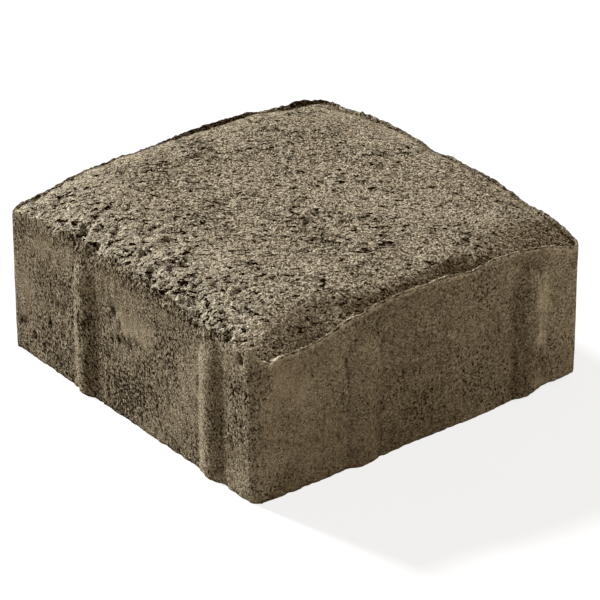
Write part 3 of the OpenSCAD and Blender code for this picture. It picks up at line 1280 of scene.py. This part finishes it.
        cells = np.arange(count).reshape(self.top_cells + 1, self.top_cells + 1)
        quads = [np.stack([cells[:-1, :-1], cells[1:, :-1], cells[1:, 1:], cells[:-1, 1:]], -1)]
        rows = np.arange((self.wall_rows + len(inset)) * columns).reshape(-1, columns)
        loops = np.concatenate([numbers[None, :], count + rows])
        following = np.roll(loops, -1, axis=1)
        quads.append(np.stack([loops[:-1], loops[1:], following[1:], following[:-1]], -1))
        quads = np.concatenate([q.reshape(-1, 4) for q in quads])
        centre = np.full(columns, len(vertices) - 1)
        fan = np.stack([loops[-1], centre, following[-1]], -1)

        mesh = bpy.data.meshes.new("paving_stone_surface")
        mesh.from_pydata(vertices * MM, [], quads.tolist() + fan.tolist())
        top_looks = self.pressed_top.looks.attributes(top_grid)
        side_looks = self.drawn_sides.looks.attributes(side_grid)
        underside = np.zeros(under.shape[0] * columns + 1)
        for name, values in top_looks.items():
            even = underside + side_looks[name].mean()
            whole = np.concatenate([values.ravel(), side_looks[name][1:].ravel(), even])
            mesh.attributes.new(name, "FLOAT", "POINT").data.foreach_set("value", whole)
        mesh.polygons.foreach_set("use_smooth", np.ones(len(mesh.polygons), bool))
        mesh.update()
        mesh.validate()
        stone = bpy.data.objects.new("pressed_paving_stone", mesh)
        bpy.context.scene.collection.objects.link(stone)
        return stone

    def dress(self, stone: bpy.types.Object, finish: DryPressedConcrete) -> None:
        """Gives the stone its finish and its place in the frame.

        Args:
            stone: the object that build made.
            finish: the concrete that it is pressed from.
        """
        stone.data.materials.append(finish.material())
        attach(stone, "root")
        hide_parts("paving_stone")


@dataclass(frozen=True)
class Studio:
    """A pale floor that shows white to the camera, a soft key light, a weak fill and even light around."""

    floor_half: float = 4000.0
    floor_colour: str = "#b2ada4"
    sky_colour: str = "#fff1dc"
    shadow_colour: str = "#808080"
    floor_glow: float = 0.82
    sky: float = 0.2
    key_towards: tuple[float, float, float] = (-0.31, 1.4, 1.05)
    key_strength: float = 5.6
    key_colour: str = "#ffffff"
    key_spread: float = 8.0
    fill_towards: tuple[float, float, float] = (1.0, -0.6, 0.5)
    fill_strength: float = 0.64
    fill_colour: str = "#ffead0"
    fill_spread: float = 60.0

    def seen(self, tree: bpy.types.NodeTree) -> bpy.types.NodeSocket:
        """Tells the rays that show the background from those that light.

        The first go straight to the camera, or are mirrored or come through glass.

        Args:
            tree: the node tree that needs to know.

        Returns:
            A socket that is 1 for a ray that shows and 0 for one that lights.
        """
        rays = add_node(tree, "ShaderNodeLightPath").outputs
        shown = rays["Is Camera Ray"]
        for other in ("Is Glossy Ray", "Is Transmission Ray"):
            shown = add_node(tree, "ShaderNodeMath", {0: shown, 1: rays[other]},
                             operation="MAXIMUM").outputs[0]
        return shown

    def floor(self) -> None:
        """Lays the floor: pale for the light that it throws back, near white for the camera."""
        h = self.floor_half * MM
        mesh = bpy.data.meshes.new("studio_floor_surface")
        mesh.from_pydata([(-h, -h, 0), (h, -h, 0), (h, h, 0), (-h, h, 0)], [], [(0, 1, 2, 3)])
        floor = bpy.data.objects.new("studio_floor", mesh)
        bpy.context.scene.collection.objects.link(floor)
        material = bpy.data.materials.new("white_studio_floor")
        material.use_nodes = True
        tree = material.node_tree
        tree.nodes.clear()
        thrown = add_node(tree, "ShaderNodeBsdfDiffuse", {"Color": linear_colour(self.floor_colour)})
        shaded = add_node(tree, "ShaderNodeBsdfDiffuse", {"Color": linear_colour(self.shadow_colour)})
        glow = add_node(tree, "ShaderNodeEmission", {"Strength": self.floor_glow})
        white = add_node(tree, "ShaderNodeAddShader", {0: shaded.outputs[0], 1: glow.outputs[0]})
        mix = add_node(tree, "ShaderNodeMixShader",
                       {0: self.seen(tree), 1: thrown.outputs[0], 2: white.outputs[0]})
        add_node(tree, "ShaderNodeOutputMaterial", {"Surface": mix.outputs[0]})
        mesh.materials.append(material)

    def surroundings(self) -> None:
        """Sets even light all round, which the camera sees as white."""
        world = bpy.data.worlds.new("white_studio")
        bpy.context.scene.world = world
        world.use_nodes = True
        tree = world.node_tree
        tree.nodes.clear()
        seen = self.seen(tree)
        light = add_node(tree, "ShaderNodeMapRange", {"Value": seen, "To Min": self.sky, "To Max": 1.0})
        tint = add_node(tree, "ShaderNodeMix",
                        {0: seen, 6: linear_colour(self.sky_colour), 7: (1, 1, 1, 1)},
                        data_type="RGBA").outputs[2]
        back = add_node(tree, "ShaderNodeBackground", {"Color": tint, "Strength": light.outputs[0]})
        add_node(tree, "ShaderNodeOutputWorld", {"Surface": back.outputs[0]})

    def lamps(self) -> None:
        """Hangs the key light and the fill, each as a far soft lamp."""
        lights = (("key_light", self.key_towards, self.key_strength, self.key_spread, self.key_colour),
                  ("fill_light", self.fill_towards, self.fill_strength, self.fill_spread, self.fill_colour))
        for name, towards, strength, spread, colour in lights:
            lamp = bpy.data.lights.new(name, "SUN")
            lamp.energy = strength
            lamp.color = linear_colour(colour)[:3]
            lamp.angle = math.radians(spread)
            holder = bpy.data.objects.new(name, lamp)
            holder.rotation_euler = Vector(towards).to_track_quat("Z", "Y").to_euler()
            bpy.context.scene.collection.objects.link(holder)


@dataclass(frozen=True)
class PhotoCamera:
    """The camera at the photograph's angle, from far off through a long lens."""

    azimuth: float = -38.13
    elevation: float = 28.12
    distance: float = 1166.75
    aim_right: float = 2.36
    aim_up: float = 20.08
    lens: float = 205.66
    sensor: float = 36.0

    def place(self) -> None:
        """Sets the camera up, level, with its middle line a little above the stone's bed."""
        a, e = math.radians(self.azimuth), math.radians(self.elevation)
        back = Vector((math.sin(a) * math.cos(e), -math.cos(a) * math.cos(e), math.sin(e)))
        right = Vector((math.cos(a), math.sin(a), 0))
        up = back.cross(right)
        spot = (back * self.distance + right * self.aim_right + up * self.aim_up) * MM
        data = bpy.data.cameras.new("photo_camera")
        data.lens = self.lens
        data.sensor_width = self.sensor
        camera = bpy.data.objects.new("photo_camera", data)
        turn = Matrix((right, up, back)).transposed().to_4x4()
        camera.matrix_world = Matrix.Translation(spot) @ turn
        bpy.context.scene.collection.objects.link(camera)
        bpy.context.scene.camera = camera


def main() -> None:
    """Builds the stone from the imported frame, dresses it, and sets up the studio and the camera."""
    logging.basicConfig(level=logging.INFO)
    bpy.context.scene.view_settings.view_transform = "Standard"
    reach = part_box("paving_stone")[1]
    stone = PavingStone(face_half=reach.x / MM - PavingStone.nib_out, crown=reach.z / MM)
    piece = stone.build()
    stone.dress(piece, DryPressedConcrete())
    LOG.info("%s: %d vertices", piece.name, len(piece.data.vertices))
    studio = Studio()
    studio.floor()
    studio.surroundings()
    studio.lamps()
    PhotoCamera().place()
    LOG.info("studio: floor, surroundings, lamps and camera")


if __name__ == "__main__":
    main()
